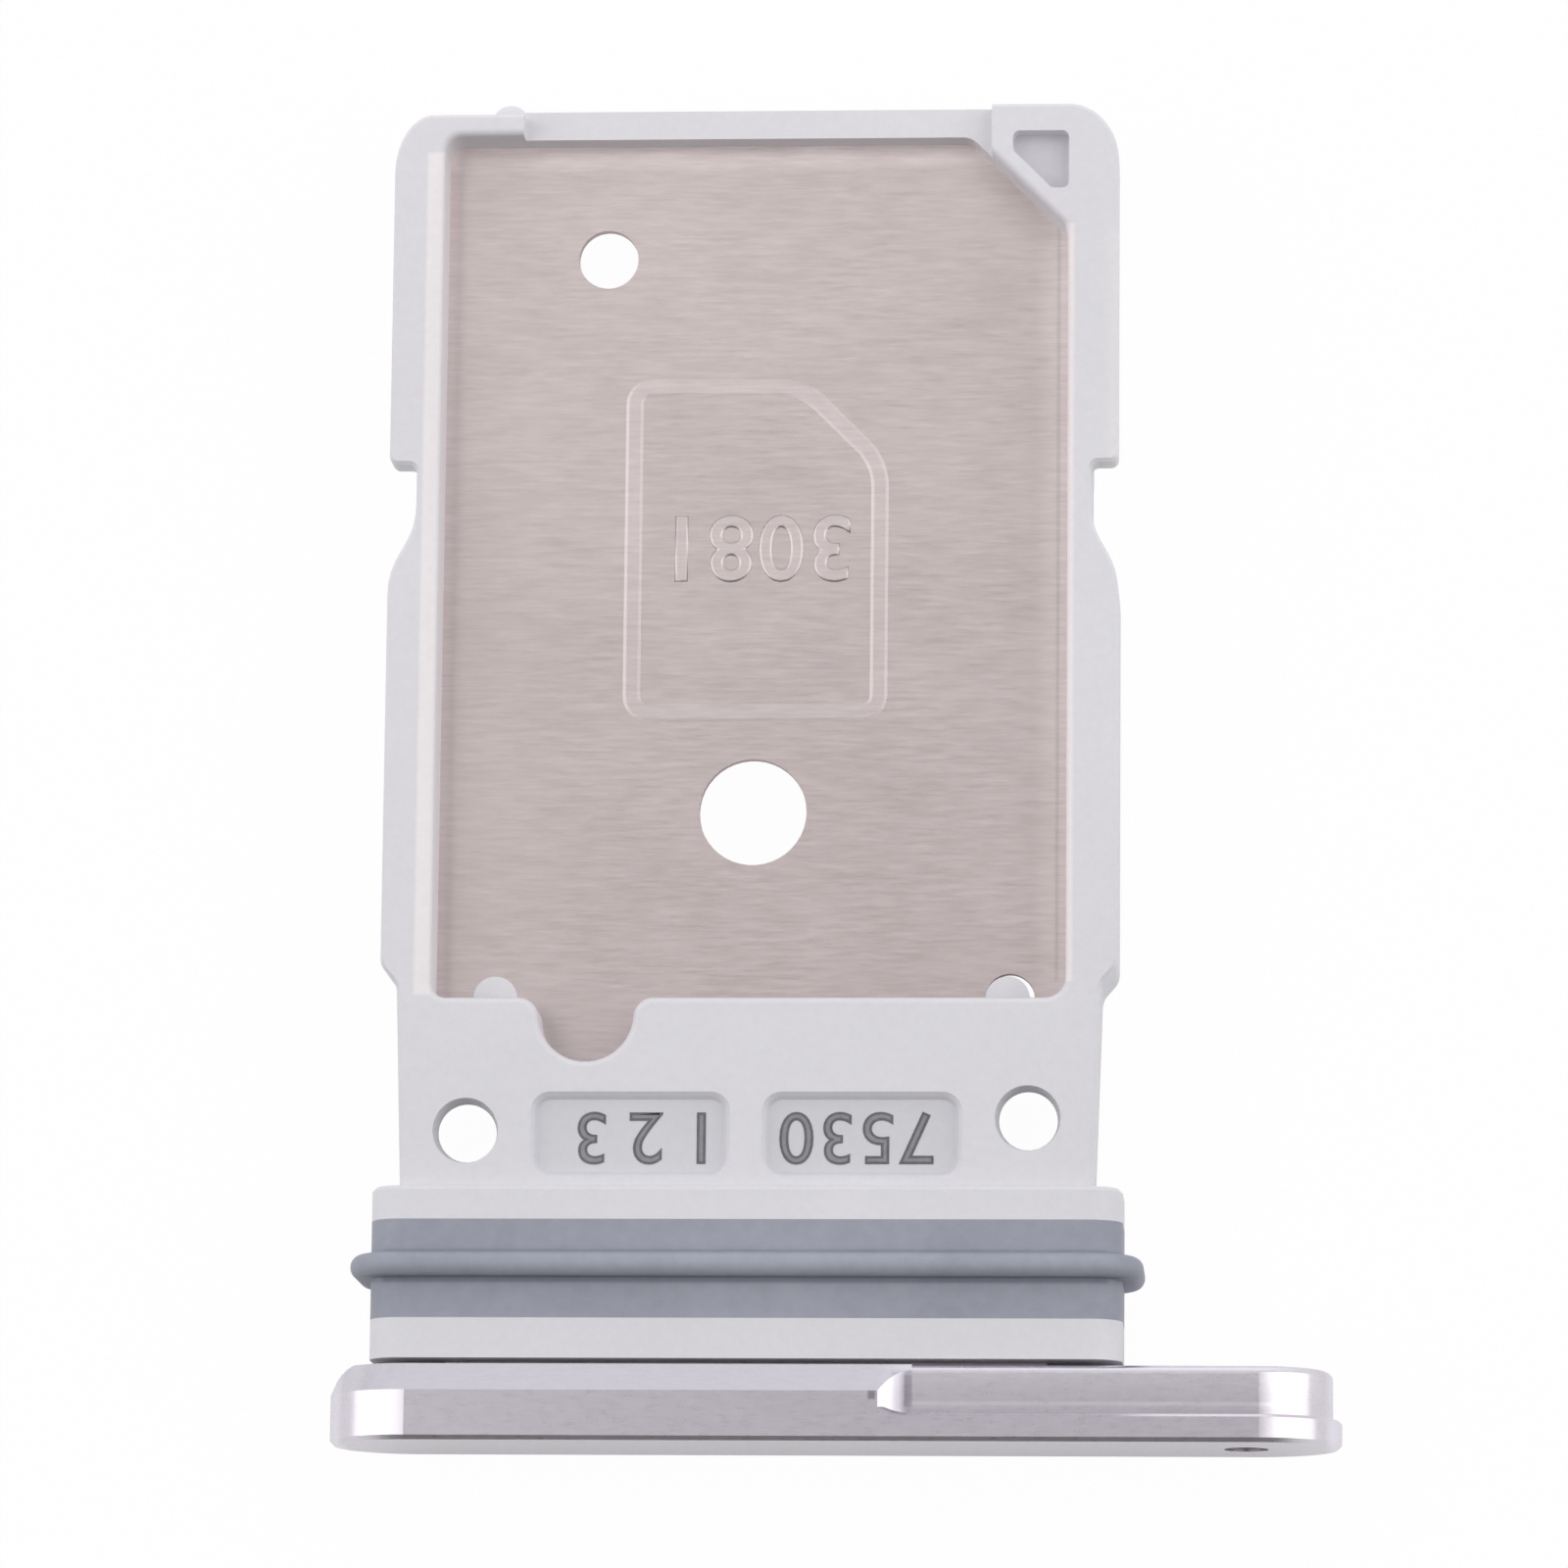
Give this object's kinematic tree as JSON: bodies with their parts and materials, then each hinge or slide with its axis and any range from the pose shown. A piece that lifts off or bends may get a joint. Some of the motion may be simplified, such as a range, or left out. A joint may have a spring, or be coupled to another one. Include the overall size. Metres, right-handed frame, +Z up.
{
  "type": "sim card tray",
  "caption": "Thin tray with a seat for a nano card on each face, a sealed collar, and a pill-shaped metal face plate with an eject-pin hole.",
  "frame": {"origin": "on the middle line of the collar, half way up, at the outer face of the face plate", "axes": "+Y from the outer face to the tray's far end, the way it slides in; +X towards the eject-pin hole; +Z up, out of the upper card seat"},
  "size_m": [0.0141, 0.0192, 0.0024],
  "materials": {
    "moulding": "light grey moulded plastic, satin",
    "sheet": "stainless sheet, brushed across the tray",
    "seal": "blue-grey silicone rubber",
    "face": "satin, anodised silver"
  },
  "bodies": {
    "root": {"frame": "moulding", "card_plate": "sheet", "seal": "seal", "face_plate": "face"}
  },
  "joints": []
}
